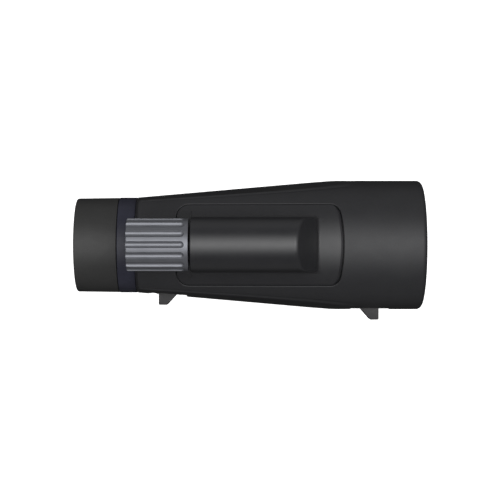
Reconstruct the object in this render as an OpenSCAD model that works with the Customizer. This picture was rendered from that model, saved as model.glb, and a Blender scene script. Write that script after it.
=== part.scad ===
// Angled-free (straight) spotting scope, 42 mm class, with a top focus knob.
// X is the optical axis, with the objective at +X; +Y is the user's left; +Z is up.
// The origin is the mouth of the tripod socket, on the foot's flat face.

/* [Body] */
// Height of the optical axis above the foot's face
ax_z = 29.5; // [28.5:0.1:32]
// Outer radius of the armour round the objective
obj_r = 27.03; // [26.6:0.01:27.4]
// Front end of the armour
x_rim = 71.9; // [71:0.1:73]
// Rear end of the armour
x_arm = -47.0; // [-47.2:0.1:-46.8]
// Half width of the body above the tripod socket
w0 = 24.09; // [23.6:0.01:24.6]
// Taper of the body's sides in plan, degrees
taper = 4.98; // [4.6:0.01:5.3]
// Draft of the body's side walls, degrees
draft = 11.5; // [9:0.1:13]
// Thickness of the rubber armour
armor_t = 1.6; // [1.2:0.1:1.8]
// Thickness of the chassis wall
wall = 2.2; // [1.8:0.1:2.4]
// How far the crown falls from the objective end to the eye end
crown_fall = 4.28; // [3.8:0.01:4.6]
// Rounding of the front rim
rim_r = 2.4; // [1.8:0.1:2.8]

/* [Objective] */
// Radius of the objective lenses
lens_r = 21.6; // [21.2:0.1:21.8]
// Radius of the bore that holds the objective cell
bore_r = 23.4; // [23.2:0.1:23.6]
// Front end of the objective cell
x_cell = 64; // [63:0.1:65]
// Joint between the chassis and the objective tube
x_tube = 48; // [47.5:0.1:48.5]

/* [Eyepiece] */
// Outer radius of the eyecup
cup_r = 19.7; // [19.5:0.01:19.8]
// Rear end of the eyecup when it is down
x_cup = -72.35; // [-73:0.05:-72]
// Front end of the eyecup when it is down
x_cup_f = -54.7; // [-54.8:0.05:-54.6]
// Outer radius of the collar
collar_r = 19.93; // [19.7:0.01:20]
// Outer radius of the eyepiece barrel
barrel_r = 15.6; // [15.3:0.1:15.7]
// How far the eyecup comes out
cup_travel = 9; // [6:0.5:9]

/* [Focus drive] */
// Height of the knob's axis above the optical axis
knob_z = 31.5; // [31.3:0.1:32]
// Radius of the knob
knob_r = 10.6; // [10.2:0.1:10.7]
// Rear end of the knob
knob_x0 = -49.2; // [-50:0.1:-49]
// Front end of the knob
knob_x1 = -24.5; // [-24.7:0.1:-24.4]
// Number of flutes round the knob
flutes = 15; // [12:1:18]
// Radius of the flute's scoop
flute_r = 1.47; // [1.4:0.01:1.5]
// Depth of a flute
flute_d = 0.98; // [0.9:0.01:1]
// Radius of the focus shaft
shaft_r = 3; // [2.8:0.1:3.2]
// Radius of the leadscrew
screw_r = 2.5; // [2.3:0.1:2.6]

/* [Focus bridge] */
// Radius of the raised housing
house_r = 11.1; // [10.9:0.1:11.3]
// Rear face of the raised housing
house_x0 = -23.8; // [-24:0.1:-23.6]
// Top edge of the housing's sloping nose
nose_x = 18.5; // [18:0.1:19]
// Lean of the nose, degrees
nose_lean = 29.5; // [27:0.1:31]
// Rear edge of the saddle panel
panel_x0 = -29.9; // [-30.2:0.1:-29.6]
// Front edge of the saddle panel at its middle
panel_x1 = 37.9; // [37:0.1:39]
// Half width of the saddle panel
panel_w = 16.5; // [16:0.1:17]
// Rounding of the panel's rear corners
panel_c = 5; // [4:0.5:5.5]
// How far the panel lies below the armour
panel_sink = 0.3; // [0.1:0.05:0.5]

/* [Strap lugs] */
// Outer end of the rear lug
lug_rx = -38.1; // [-38.6:0.1:-38]
// Tip of the rear lug
lug_ry = -25; // [-25.2:0.1:-24.7]
// Outer end of the front lug
lug_fx = 53.7; // [53.4:0.1:54]
// Tip of the front lug
lug_fy = -31.2; // [-31.6:0.1:-31]
// Length of a lug's flat crown
lug_flat = 3.5; // [3:0.1:4]
// Half height of a lug
lug_h = 5; // [4.8:0.1:5.2]
// Height of the lugs' middle above the optical axis
lug_z = 0.2; // [0:0.1:0.5]
// Half length of the strap slot
slot_h = 3.4; // [3:0.1:3.6]

/* [Tripod foot] */
// Rear end of the foot
foot_x0 = -18; // [-20:1:-16]
// Front end of the foot
foot_x1 = 24; // [22:1:28]
// Half width of the foot
foot_w = 13; // [12:0.5:13.5]
// Corner radius of the foot
foot_c = 4; // [3:0.5:5]
// Minor radius of the 1/4-20 thread
socket_r = 2.6; // [2.55:0.01:2.7]
// Depth of the thread
socket_d = 5.8; // [5.5:0.1:6]

/* [Hidden] */
$fn = 96;
run = 0.05;                 // radial clearance of a running fit
seam = 0.2;                 // visible gap round a fitted panel
inner = armor_t + wall;     // depth of the chassis's inner wall
kz = knob_z;
dprism = 14;                // clear width of the prisms
px0 = -1.5;                 // entrance face of the prisms

// Crown radius of the body at station x: a long fall, then a short rounded shoulder at the eye end.
function fall(x) = obj_r - 0.03 - crown_fall * pow(max(0, 45 - x) / 92, 1.6);
function crown(x) = fall(x) - (fall(-47) - 20.1) * pow(max(0, (-40 - x) / 7), 2.2);
// Half width of the body at station x.
function half_w(x) = w0 + x * tan(taper);

// Stations of the body, close together on the shoulder.
stations = concat([x_arm, -46.2, -45, -43.5, -42, -40], [for (i = [1:10]) -40 + i * 8.5]);
function body_pts(t, x1) = concat([[0, x_arm]], [for (x = stations) [crown(x) - t, x]], [[obj_r - 0.03 - t, x1], [0, x1]]);

// Turned solids on the optical axis: points are [radius, x].
module rev(pts) translate([0, 0, ax_z]) rotate([0, 90, 0]) rotate_extrude() polygon(pts);
// A cylinder along X, at y and at height z above the optical axis.
module xcyl(r, x0, x1, y = 0, z = 0) translate([x0, y, ax_z + z]) rotate([0, 90, 0]) cylinder(r = r, h = x1 - x0);
// A tube along X.
module xtube(ro, ri, x0, x1, y = 0, z = 0) difference() {
    xcyl(ro, x0, x1, y, z);
    xcyl(ri, x0 - 1, x1 + 1, y, z);
}
// A box given by its lowest and highest corner, heights above the optical axis.
module box(a, b) translate([a[0], a[1], ax_z + a[2]]) cube([b[0] - a[0], b[1] - a[1], b[2] - a[2]]);
// An O-ring on an axis along X.
module o_ring(R, r, x, z = 0) translate([x, 0, ax_z + z]) rotate([0, 90, 0]) rotate_extrude() translate([R, 0]) circle(r = r, $fn = 32);

// Half space inside one drafted, tapered side wall; q is 1 above the axis and -1 below.
module wall_side(q, t) translate([0, w0 - t, ax_z]) rotate([0, 0, taper]) rotate([q * draft, 0, 0])
    translate([-150, -200, -150]) cube([300, 200, 300]);
module walls(t) intersection() {
    wall_side(1, t);
    wall_side(-1, t);
    mirror([0, 1, 0]) wall_side(1, t);
    mirror([0, 1, 0]) wall_side(-1, t);
}
// The body's outer form, set in by t and ending at x1.
module form(t, x1) intersection() {
    rev(body_pts(t, x1));
    walls(t);
}
// Trough that clears the knob.
module trough(r) xcyl(r, -60, house_x0, 0, kz);

// Outline of the saddle panel, grown by e.
module panel_outline(e) intersection() {
    union() {
        box([panel_x0 - e + panel_c, -panel_w - e, 5], [60, panel_w + e, 60]);
        box([panel_x0 - e, -panel_w - e + panel_c, 5], [60, panel_w + e - panel_c, 60]);
        for (s = [-1, 1]) translate([panel_x0 - e + panel_c, s * (panel_w + e - panel_c), ax_z + 5]) cylinder(r = panel_c, h = 55);
    }
    translate([panel_x1 + e, 0, ax_z + 27]) rotate([0, 18.3, 0]) translate([-120, -50, -60]) cube([120, 100, 120]);
}
// Outline of the foot, grown by e.
module foot_outline(e) translate([0, 0, 0]) {
    x0 = foot_x0 - e; x1 = foot_x1 + e; w = foot_w + e; c = foot_c;
    translate([x0 + c, -w, 0]) cube([x1 - x0 - 2 * c, 2 * w, 14]);
    translate([x0, -w + c, 0]) cube([x1 - x0, 2 * w - 2 * c, 14]);
    for (x = [x0 + c, x1 - c]) for (s = [-1, 1]) translate([x, s * (w - c), 0]) cylinder(r = c, h = 14);
}
// Reliefs in the armour where the lugs are fixed, grown by e.
module lug_relief(e) {
    box([-42.2 - e, -40, -6.8 - e], [-26.6 + e, -10, 5.9 + e]);
    box([42.2 - e, -40, -6.8 - e], [58.2 + e, -10, 5.9 + e]);
}
// The outer form of the chassis and the objective tube, which everything fixed to them sits on.
module chassis_form() difference() {
    form(armor_t, x_rim - armor_t);
    trough(12.6);
}

// ---- fasteners ----
bridge_at = [[-16, 7.5], [21, 7.5], [-16, -7.5], [21, -7.5]];
function bridge_head(x) = sqrt(pow(crown(x) - inner, 2) - 56.25) + 1;
foot_at = [[-12, 8], [18, 8], [-12, -8], [18, -8]];
lug_at = [[-40.4, -20.05, 17.5], [-28.6, -21.05, 17.7], [44.0, -26.7, 23.9], [56.4, -26.7, 23.9]];

module bridge_screws() color([0.55, 0.55, 0.57]) for (p = bridge_at) translate([p[0], p[1], ax_z + bridge_head(p[0])]) difference() {
    union() {
        translate([0, 0, -1.6]) cylinder(r = 1.9, h = 1.6);
        cylinder(r = 1, h = 5.5);
    }
    translate([0, 0, -1.7]) cylinder(r = 0.9, h = 0.9, $fn = 6);
}
module foot_screws() color([0.3, 0.3, 0.32]) for (p = foot_at) translate([p[0], p[1], 0]) difference() {
    union() {
        translate([0, 0, 0.4]) cylinder(r = 2.2, h = 1.6);
        translate([0, 0, 1.9]) cylinder(r = 1.2, h = 7.2);
    }
    translate([0, 0, 0.3]) cylinder(r = 1.1, h = 1.0, $fn = 6);
}
module lug_screws() color([0.35, 0.35, 0.37]) for (p = lug_at) translate([p[0], 0, ax_z + lug_z]) rotate([90, 0, 0]) difference() {
    union() {
        translate([0, 0, -p[1] - 0.8]) cylinder(r = 1.4, h = 0.7);
        translate([0, 0, p[2]]) cylinder(r = 0.8, h = -p[1] - p[2] - 0.7);
    }
    translate([0, 0, -p[1] - 0.6]) cylinder(r = 0.65, h = 1, $fn = 6);
}

// ---- body ----
module chassis() color([0.20, 0.20, 0.21]) difference() {
    intersection() {
        chassis_form();
        box([-60, -40, -40], [x_tube, 40, 40]);
    }
    // inner hollow behind the objective
    intersection() {
        form(inner, 60);
        box([-22.5, -40, -40], [45, 40, 40]);
    }
    // hollow under the knob
    xcyl(17, -43.5, -22.4);
    // eyepiece bore
    xcyl(14.5, -50, -43);
    // light path past the shoulder, and the seat of the objective tube
    xcyl(22, 44, 50);
    xcyl(bore_r + 0.5, x_tube - 2, x_tube + 1);
    // way through for the focus arm
    box([0, -3.1, 15], [12.5, 3.1, 40]);
    // bridge screws
    for (p = bridge_at) translate([p[0], p[1], ax_z + bridge_head(p[0])]) {
        translate([0, 0, -8]) cylinder(r = 2.1, h = 8);
        translate([0, 0, -1]) cylinder(r = 1, h = 9);
    }
    // foot screws and the insert's end
    for (p = foot_at) translate([p[0], p[1], 1]) cylinder(r = 1.2, h = 8.1);
    cylinder(r = 5, h = 6.3);
    // lug screws
    for (p = lug_at) translate([p[0], 0, ax_z + lug_z]) rotate([90, 0, 0]) translate([0, 0, p[2]]) cylinder(r = 0.8, h = 10);
}
// The tube screws into the chassis by its spigot and holds the objective cell against its shoulder.
module objective_tube() color([0.19, 0.19, 0.20]) difference() {
    rev([[22, x_tube - 2], [bore_r + 0.5, x_tube - 2], [bore_r + 0.5, x_tube], [obj_r - 0.03 - armor_t, x_tube],
        [obj_r - 0.03 - armor_t, x_rim - armor_t], [bore_r, x_rim - armor_t], [bore_r, 50], [22, 50]]);
    for (p = lug_at) translate([p[0], 0, ax_z + lug_z]) rotate([90, 0, 0]) translate([0, 0, p[2]]) cylinder(r = 0.8, h = 10);
}
module rubber_armor() color([0.16, 0.16, 0.165]) difference() {
    intersection() {
        // a faint cone runs up to the front band, so that a slip-on cap seats on the band alone
        rev(concat([[0, x_arm]], [for (x = stations) [crown(x) - (x > 44 ? 0.07 : 0), x]], [[obj_r, 58.6]],
            [for (a = [0:15:90]) [obj_r - rim_r + rim_r * cos(a), x_rim - rim_r + rim_r * sin(a)]], [[0, x_rim]]));
        walls(0);
    }
    chassis_form();
    trough(11.4);
    panel_outline(seam);
    xcyl(bore_r + 0.2, x_rim - 4, x_rim + 1);
    xcyl(19, x_arm - 1, x_arm + 0.6);
    foot_outline(seam);
    lug_relief(0.15);
}
module focus_bridge() color([0.18, 0.18, 0.19]) difference() {
    union() {
        intersection() {
            form(panel_sink, 60);
            panel_outline(0);
        }
        intersection() {
            union() {
                xcyl(house_r, house_x0, 40, 0, kz);
                box([house_x0, -house_r, 10], [40, house_r, kz]);
            }
            translate([nose_x, 0, ax_z + kz + house_r]) rotate([0, -nose_lean, 0]) translate([-120, -50, -70]) cube([120, 100, 120]);
        }
    }
    chassis_form();
    trough(11.4);
    xcyl(6, house_x0 - 1, 17, 0, kz);
    box([0, -3.1, 15], [12.5, 3.1, kz]);
    for (p = bridge_at) translate([p[0], p[1], ax_z + bridge_head(p[0]) - 1]) cylinder(r = 1, h = 6.5);
}

// ---- objective ----
module lens_biconvex(r, xa, xb, ra, rb) intersection() {
    xcyl(r, xa - 10, xb + 10);
    translate([xa - (ra - sqrt(ra * ra - r * r)) + ra, 0, ax_z]) sphere(r = ra, $fn = 180);
    translate([xb + (rb - sqrt(rb * rb - r * r)) - rb, 0, ax_z]) sphere(r = rb, $fn = 180);
}
module objective_cell() color([0.10, 0.10, 0.10]) difference() {
    rev([[20.6, 50], [bore_r, 50], [bore_r, 61.3], [22.5, 61.3], [22.5, 62.5], [bore_r, 62.5], [bore_r, x_cell],
         [22.9, x_cell], [lens_r, x_cell - 1.8], [lens_r, 51.5], [20.6, 51.5]]);
}
module objective_front_lens() color([0.35, 0.5, 0.5, 0.5]) lens_biconvex(lens_r, 56.5, 58.5, 70, 75);
module objective_rear_lens() color([0.4, 0.5, 0.55, 0.5]) difference() {
    xcyl(lens_r, 51.5, 56.5);
    translate([56.5 + sqrt(4900 - lens_r * lens_r), 0, ax_z]) sphere(r = 70, $fn = 180);
}
module objective_retaining_ring() color([0.08, 0.08, 0.08]) difference() {
    xtube(lens_r, 21, 58.7, 61.2);
    for (s = [-1, 1]) box([60.4, s * 21.3 - 0.6, -1.2], [61.7, s * 21.3 + 0.6, 1.2]);
}
module objective_o_ring() color([0.05, 0.05, 0.05]) o_ring(22.95, 0.42, 61.9);
module baffle_ring() color([0.09, 0.09, 0.09]) difference() {
    intersection() {
        form(inner, 60);
        box([43, -40, -40], [45, 40, 40]);
    }
    xcyl(17, 40, 50);
    for (s = [-1, 1]) xcyl(1, 40, 50, s * 18.4, 0);
}

// ---- prisms ----
module plan_y(w) translate([0, w, ax_z]) rotate([90, 0, 0]) linear_extrude(2 * w) children();
pu = 1.186 * dprism;        // length of the half-penta prism
su = 1.286 * dprism;        // exit face of the roof prism
sl = 1.87 * dprism;         // length of the roof prism's equal faces
sv = dprism / 2 - su + 0.35;
module half_penta_prism() color([0.75, 0.85, 0.9, 0.5]) plan_y(dprism / 2 + 0.2) polygon([
    [px0, dprism / 2], [px0, -dprism / 2], [px0 - pu, -dprism / 2 - pu * tan(22.5)], [px0 - pu, dprism / 2 - pu]]);
module roof_prism() color([0.75, 0.88, 0.85, 0.5]) intersection() {
    plan_y(dprism / 2 + 0.2) polygon([[px0 - su, sv], [px0 - su + sl * sqrt(0.5), sv + sl * sqrt(0.5)], [px0 - su, sv + sl]]);
    translate([px0 - su, 0, ax_z + sv + sl]) rotate([0, 22.5, 0]) rotate([45, 0, 0]) translate([-10, -60, -60]) cube([60, 60, 60]);
}
module prism_cage() color([0.12, 0.12, 0.12]) difference() {
    union() {
        intersection() {
            form(inner, 60);
            box([-0.5, -40, -40], [1, 40, 40]);
        }
        for (s = [-1, 1]) box([-21, s * 8.2 - 1, -14.6], [-0.5, s * 8.2 + 1, 14]);
    }
    xcyl(6.9, -2, 2);
    for (s = [-1, 1]) {
        xcyl(1, -2, 2, s * 18.4, 0);
        translate([-12, s * 8.2, ax_z + 9]) rotate([90, 0, 0]) translate([0, 0, -3]) cylinder(r = 0.7, h = 6);
    }
}
module prism_clamp() color([0.6, 0.6, 0.6]) difference() {
    box([-19, -9.9, 6.5], [-5, 9.9, 16.3]);
    box([-20, -9.2, 6], [-4, 9.2, 15.6]);
    translate([-12, 0, ax_z + 9]) rotate([90, 0, 0]) translate([0, 0, -20]) cylinder(r = 0.8, h = 40);
    box([-16, -6, 15], [-14, 6, 17]);
}
module prism_screws() color([0.5, 0.5, 0.52]) for (s = [-1, 1]) translate([-12, 0, ax_z + 9]) rotate([s * 90, 0, 0]) {
    translate([0, 0, 7.4]) cylinder(r = 0.7, h = 2.5);
    translate([0, 0, 9.9]) cylinder(r = 1.4, h = 0.8);
}

// ---- eyepiece ----
module eyepiece_barrel() color([0.09, 0.09, 0.09]) rev([
    [12.6, -67.8], [13.2, -69], [barrel_r, -69], [barrel_r, -56], [17.3, -56], [17.3, -54.5], [17, -54.5], [17, -47.25],
    [14.5, -47.25], [14.5, -46.1], [13.3, -46.1], [13.3, -44.9], [14.5, -44.9], [14.5, -34], [12.5, -34], [12.5, -41],
    [11.5, -41], [11.5, -53.4], [12.6, -53.4]]);
module eyepiece_collar() color([0.17, 0.18, 0.22]) rev([[17, -54.5], [collar_r - 0.3, -54.5], [collar_r, -54.2],
    [collar_r, -47.3], [collar_r - 0.18, -47.12], [19.2, -47.12], [19.2, -47.5], [17, -47.5]]);
module eye_lens() color([0.5, 0.45, 0.6, 0.5]) lens_biconvex(12.6, -66, -63.8, 90, 40);
module eyepiece_retaining_ring() color([0.08, 0.08, 0.08]) difference() {
    xtube(12.6, 11.2, -67.75, -66.25);
    for (s = [-1, 1]) box([-68, s * 11.9 - 0.5, -0.8], [-67, s * 11.9 + 0.5, 0.8]);
}
module eyepiece_spacer() color([0.1, 0.1, 0.1]) xtube(12.6, 11.6, -63.4, -58.9);
module doublet_rear_lens() color([0.5, 0.6, 0.6, 0.5]) difference() {
    xcyl(12.6, -58.9, -55.5);
    translate([-55.5 + sqrt(900 - 158.76), 0, ax_z]) sphere(r = 30, $fn = 180);
}
module doublet_front_lens() color([0.5, 0.6, 0.6, 0.5]) lens_biconvex(12.6, -55.5, -53.7, 30, 60);
module field_lens() color([0.5, 0.6, 0.6, 0.5]) intersection() {
    xcyl(12.5, -41, -36);
    translate([-37.6 - 50, 0, ax_z]) sphere(r = 50, $fn = 180);
}
module field_stop() color([0.06, 0.06, 0.06]) xtube(12.5, 9, -35.6, -34.6);
module eyepiece_o_ring() color([0.05, 0.05, 0.05]) o_ring(13.88, 0.5, -45.5);

// ---- eyecup ----
module click_ring() color([0.35, 0.35, 0.36]) difference() {
    xtube(17.25, barrel_r + run, -68, -56.2);
    translate([-58.5, 0, ax_z]) rotate([90, 0, 0]) translate([0, 0, 15]) cylinder(r = 0.8, h = 3);
}
module detent_ball() color([0.7, 0.7, 0.72]) translate([-58.5, -16.45, ax_z]) sphere(r = 0.75, $fn = 48);
module eyecup_sleeve() color([0.12, 0.12, 0.12]) rev([[13.6, -71.2], [18.5, -71.2], [18.5, -55.2],
    [17.25 + run, -55.2], [17.25 + run, -69.6], [13.6, -69.6]]);
module eyecup_rubber() color([0.18, 0.18, 0.18]) rev(concat(
    [[18.5, x_cup_f], [cup_r, x_cup_f]],
    [for (a = [0:18:90]) [cup_r - 1.4 + 1.4 * cos(a), x_cup + 1.4 - 1.4 * sin(a)]],
    [[16.6, x_cup], [13.6, -71.2], [18.5, -71.2]]));

// ---- strap lugs ----
module lug_blank(xo, d, tip, root, surf) translate([0, 0, ax_z + lug_z - lug_h]) linear_extrude(2 * lug_h) polygon([
    [xo, root], [xo, tip + 0.3], [xo + d * 0.3, tip], [xo + d * lug_flat, tip], [xo + d * 7.5, surf], [xo + d * 7.5, root]]);
module rear_strap_lug() color([0.28, 0.28, 0.29]) difference() {
    union() {
        intersection() {
            form(0.12, 60);
            box([-42.2, -40, -6.8], [-26.6, -10, 5.9]);
        }
        lug_blank(lug_rx, 1, lug_ry, -18.2, -20.6);
    }
    chassis_form();
    box([-45, -23.1, lug_z - slot_h], [-20, -20.8, lug_z + slot_h]);
    for (p = lug_at) translate([p[0], 0, ax_z + lug_z]) rotate([90, 0, 0]) {
        translate([0, 0, -p[1] - 0.8]) cylinder(r = 1.4, h = 10);
        translate([0, 0, p[2]]) cylinder(r = 0.8, h = 10);
    }
}
module front_strap_lug() color([0.28, 0.28, 0.29]) difference() {
    union() {
        intersection() {
            form(0.3, 60);
            box([42.2, -40, -6.8], [58.2, -10, 5.9]);
        }
        lug_blank(lug_fx, -1, lug_fy, -25, -26.6);
    }
    chassis_form();
    box([40, -29.3, lug_z - slot_h], [60, -26.9, lug_z + slot_h]);
    for (p = lug_at) translate([p[0], 0, ax_z + lug_z]) rotate([90, 0, 0]) {
        translate([0, 0, -p[1] - 0.8]) cylinder(r = 1.4, h = 10);
        translate([0, 0, p[2]]) cylinder(r = 0.8, h = 10);
    }
}

// ---- tripod foot ----
module tripod_foot() color([0.15, 0.15, 0.155]) difference() {
    foot_outline(0);
    chassis_form();
    translate([0, 0, -1]) cylinder(r = 5, h = 20);
    for (p = foot_at) translate([p[0], p[1], 0]) {
        translate([0, 0, -1]) cylinder(r = 2.2, h = 3);
        cylinder(r = 1.2, h = 12);
    }
}
module tripod_insert() color([0.78, 0.62, 0.32]) difference() {
    cylinder(r = 5, h = 6.3);
    translate([0, 0, -1]) cylinder(r = socket_r, h = socket_d + 1);
}

// ---- focus drive ----
module flute(i) rotate([0, 0, i * 360 / flutes]) translate([knob_r - flute_d + flute_r, 0, 0]) {
    run_out = knob_x1 - knob_x0 - 1.65 - sqrt(flute_r * flute_r - pow(flute_r - flute_d, 2));
    translate([0, 0, -1]) cylinder(r = flute_r, h = run_out + 1, $fn = 48);
    translate([0, 0, run_out]) sphere(r = flute_r, $fn = 48);
}
module knob_grip() color([0.33, 0.33, 0.34]) translate([knob_x0, 0, ax_z + kz]) rotate([0, 90, 0]) difference() {
    rotate_extrude() polygon([[7.6, 0.6], [8, 0], [knob_r - 0.7, 0], [knob_r - 0.2, 0.2], [knob_r, 0.7],
        [knob_r, knob_x1 - knob_x0 - 0.3], [knob_r - 0.3, knob_x1 - knob_x0], [7.6, knob_x1 - knob_x0]]);
    rotate([0, 0, 180]) for (i = [0:flutes - 1]) flute(i);
}
module knob_hub() color([0.25, 0.25, 0.26]) difference() {
    xcyl(7.6, -47.4, knob_x1, 0, kz);
    xcyl(shaft_r, -44, knob_x1 + 1, 0, kz);
    xcyl(1.5, -50, -40, 0, kz);
}
module knob_cap() color([0.30, 0.30, 0.31]) difference() {
    xcyl(7.6, -48.7, -47.4, 0, kz);
    xcyl(2.9, -50, -47.9, 0, kz);
    xcyl(1.5, -50, -40, 0, kz);
}
module knob_screw() color([0.5, 0.5, 0.52]) difference() {
    union() {
        xcyl(2.7, -49, -47.9, 0, kz);
        xcyl(1.5, -48, -38, 0, kz);
    }
    xcyl(1.2, -49.1, -48.2, 0, kz, $fn = 6);
}
module focus_screw() color([0.7, 0.7, 0.7]) difference() {
    union() {
        xcyl(shaft_r, -44, -17, 0, kz);
        xcyl(screw_r, -17, 14, 0, kz);
        xcyl(1.5, 14, 16.6, 0, kz);
    }
    xcyl(1.5, -45, -38, 0, kz);
}
module focus_bushing() color([0.75, 0.6, 0.32]) difference() {
    xcyl(6, house_x0, -17.8, 0, kz);
    xcyl(shaft_r + run, -30, -10, 0, kz);
    xcyl(4.1, -21.6, -20.4, 0, kz);
}
module focus_shaft_o_ring() color([0.05, 0.05, 0.05]) o_ring(3.6, 0.48, -21, kz);
module focus_end_bearing() color([0.75, 0.6, 0.32]) xtube(6, 1.5 + run, 14.4, 17, 0, kz);
module guide_rods() color([0.75, 0.75, 0.77]) for (s = [-1, 1]) xcyl(1, -0.5, 45, s * 18.4, 0);

module focus_arm() color([0.4, 0.4, 0.42]) difference() {
    union() {
        xcyl(5, 2.4, 9.6, 0, kz);
        box([3.5, -2.6, 16.2], [8.5, 2.6, kz]);
    }
    xcyl(screw_r + run, -10, 20, 0, kz);
    xcyl(16.6, 0, 20);
}
module focus_lens_cell() color([0.1, 0.1, 0.1]) difference() {
    union() {
        xcyl(16.6, 3.5, 13);
        for (s = [-1, 1]) box([5, s * 17.6 - 2.3, -2.4], [9.5, s * 17.6 + 2.3, 2.4]);
    }
    xcyl(13.4, 0, 20);
    xcyl(15, 4.7, 20);
    for (s = [-1, 1]) xcyl(1 + run, 0, 20, s * 18.4, 0);
}
module focus_lens() color([0.5, 0.6, 0.6, 0.5]) difference() {
    xcyl(15, 4.7, 10);
    translate([6.7 + 60, 0, ax_z]) sphere(r = 60, $fn = 180);
}
module focus_lens_ring() color([0.08, 0.08, 0.08]) xtube(15, 14, 10, 12);

chassis();
objective_tube();
rubber_armor();
focus_bridge();
bridge_screws();
objective_cell();
objective_front_lens();
objective_rear_lens();
objective_retaining_ring();
objective_o_ring();
baffle_ring();
prism_cage();
roof_prism();
half_penta_prism();
prism_clamp();
prism_screws();
eyepiece_barrel();
eyepiece_collar();
eye_lens();
doublet_rear_lens();
doublet_front_lens();
field_lens();
field_stop();
eyepiece_spacer();
eyepiece_retaining_ring();
eyepiece_o_ring();
rear_strap_lug();
front_strap_lug();
lug_screws();
tripod_foot();
tripod_insert();
foot_screws();
focus_bushing();
focus_shaft_o_ring();
focus_end_bearing();
guide_rods();
click_ring();
detent_ball();
eyecup_sleeve();
eyecup_rubber();
knob_grip();
knob_hub();
knob_cap();
knob_screw();
focus_screw();
focus_arm();
focus_lens_cell();
focus_lens();
focus_lens_ring();
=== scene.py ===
import math
import bpy
import bmesh
import numpy as np
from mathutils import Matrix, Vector
from mathutils.geometry import delaunay_2d_cdt


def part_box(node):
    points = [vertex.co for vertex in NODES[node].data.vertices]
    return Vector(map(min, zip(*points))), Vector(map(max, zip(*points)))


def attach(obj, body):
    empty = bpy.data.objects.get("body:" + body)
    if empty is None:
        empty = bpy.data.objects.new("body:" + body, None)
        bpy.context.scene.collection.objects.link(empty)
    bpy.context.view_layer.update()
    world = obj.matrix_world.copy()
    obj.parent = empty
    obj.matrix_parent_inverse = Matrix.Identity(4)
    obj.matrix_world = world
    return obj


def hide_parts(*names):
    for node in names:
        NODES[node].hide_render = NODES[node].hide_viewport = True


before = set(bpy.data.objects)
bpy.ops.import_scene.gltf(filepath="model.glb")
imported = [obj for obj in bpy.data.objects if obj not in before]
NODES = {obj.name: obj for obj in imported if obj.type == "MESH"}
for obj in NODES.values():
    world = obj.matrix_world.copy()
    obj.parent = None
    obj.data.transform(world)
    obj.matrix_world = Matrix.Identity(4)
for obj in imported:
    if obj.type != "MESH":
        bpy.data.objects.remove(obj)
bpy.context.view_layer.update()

# ------------------------------------------------------------------ dimensions, in mm, heights from the optical axis
AZ = (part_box("objective_cell")[0].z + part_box("objective_cell")[1].z) * 500.0   # height of the optical axis
KZ = 31.5            # knob axis above the optical axis
KR = 10.6            # knob radius
TAPER = math.tan(math.radians(4.98))
W0 = 24.09
OBJ = 27.03
X_ARM = -47.0
X_RIM = 71.9
RIM = 2.4
AT = 1.55            # armour thickness
UNROLL = 25.0        # mm of the flat pattern for a radian round the body


# ------------------------------------------------------------------ small maths
def sstep(a, b, x):
    t = np.clip((np.asarray(x, float) - a) / (b - a), 0, 1)
    return t * t * (3 - 2 * t)


def smin(a, b, k):
    h = np.clip(0.5 + 0.5 * (b - a) / k, 0, 1)
    return b * (1 - h) + a * h - k * h * (1 - h)


def rmax(a, b, r):
    return np.minimum(np.maximum(a, b), -r) + np.hypot(np.maximum(a + r, 0), np.maximum(b + r, 0))


def rmin(a, b, r):
    return np.maximum(np.minimum(a, b), r) - np.hypot(np.maximum(r - a, 0), np.maximum(r - b, 0))


def unit(v):
    return v / np.maximum(np.linalg.norm(v, axis=-1, keepdims=True), 1e-12)


def inside(poly, px, py):
    res = np.zeros(px.shape, bool)
    x0, y0 = poly[-1]
    for x1, y1 in poly:
        if y0 != y1:
            cond = ((y0 > py) != (y1 > py)) & (px < (x1 - x0) * (py - y0) / (y1 - y0) + x0)
            res ^= cond
        x0, y0 = x1, y1
    return res


# ------------------------------------------------------------------ the body's form
def fall(x):
    return OBJ - 0.03 - 4.28 * (np.maximum(0, 45 - x) / 92) ** 1.6


def crown(x):
    x = np.asarray(x, float)
    t = np.clip((-45.45 - x) / 1.4, 0, 0.98)
    return fall(x) - (fall(-47.0) - 20.1) * (1 - np.sqrt(1 - t * t))


def half_w(x):
    return W0 + x * TAPER


def body_r(x, phi):
    c = np.abs(np.cos(phi))
    s = np.abs(np.sin(phi))
    s = np.sqrt(s * s + 0.0036) - 0.06
    d = 0.2 + 0.0014 * x
    rc = crown(x)
    rp = half_w(x) / np.maximum(c + d * s, 1e-6)
    r = smin(rc, rp, 0.45)
    # a fine rolled edge along the crease, with a shallow line beside it
    e = (rp - rc) / 0.42
    f = (1 - sstep(38, 46, x)) * sstep(-46.5, -42, x)
    r = r + f * (0.11 * np.exp(-(((e - 0.5) / 0.55) ** 2)) - 0.13 * np.exp(-(((e - 1.75) / 0.5) ** 2)))
    return r


def skin_r(x, phi):
    r = body_r(x, phi)
    # trough under the knob
    sp = np.sin(phi)
    disc = 11.4 ** 2 - (KZ * np.cos(phi)) ** 2
    rt = np.where((disc > 0) & (sp > 0), KZ * sp - np.sqrt(np.maximum(disc, 0)), 99.0)
    near = (x < -23.0)
    return np.where(near, smin(r, rt, 0.5), r)


def skin(x, phi):
    x = np.asarray(x, float)
    phi = np.asarray(phi, float)
    r = skin_r(x, phi)
    return np.stack([x, r * np.cos(phi), r * np.sin(phi)], -1)


def skin_n(x, phi):
    h = 0.03
    dx = skin(x + h, phi) - skin(x - h, phi)
    dp = skin(x, phi + h / 25) - skin(x, phi - h / 25)
    return unit(np.cross(dx, dp)) * -1.0


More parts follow.
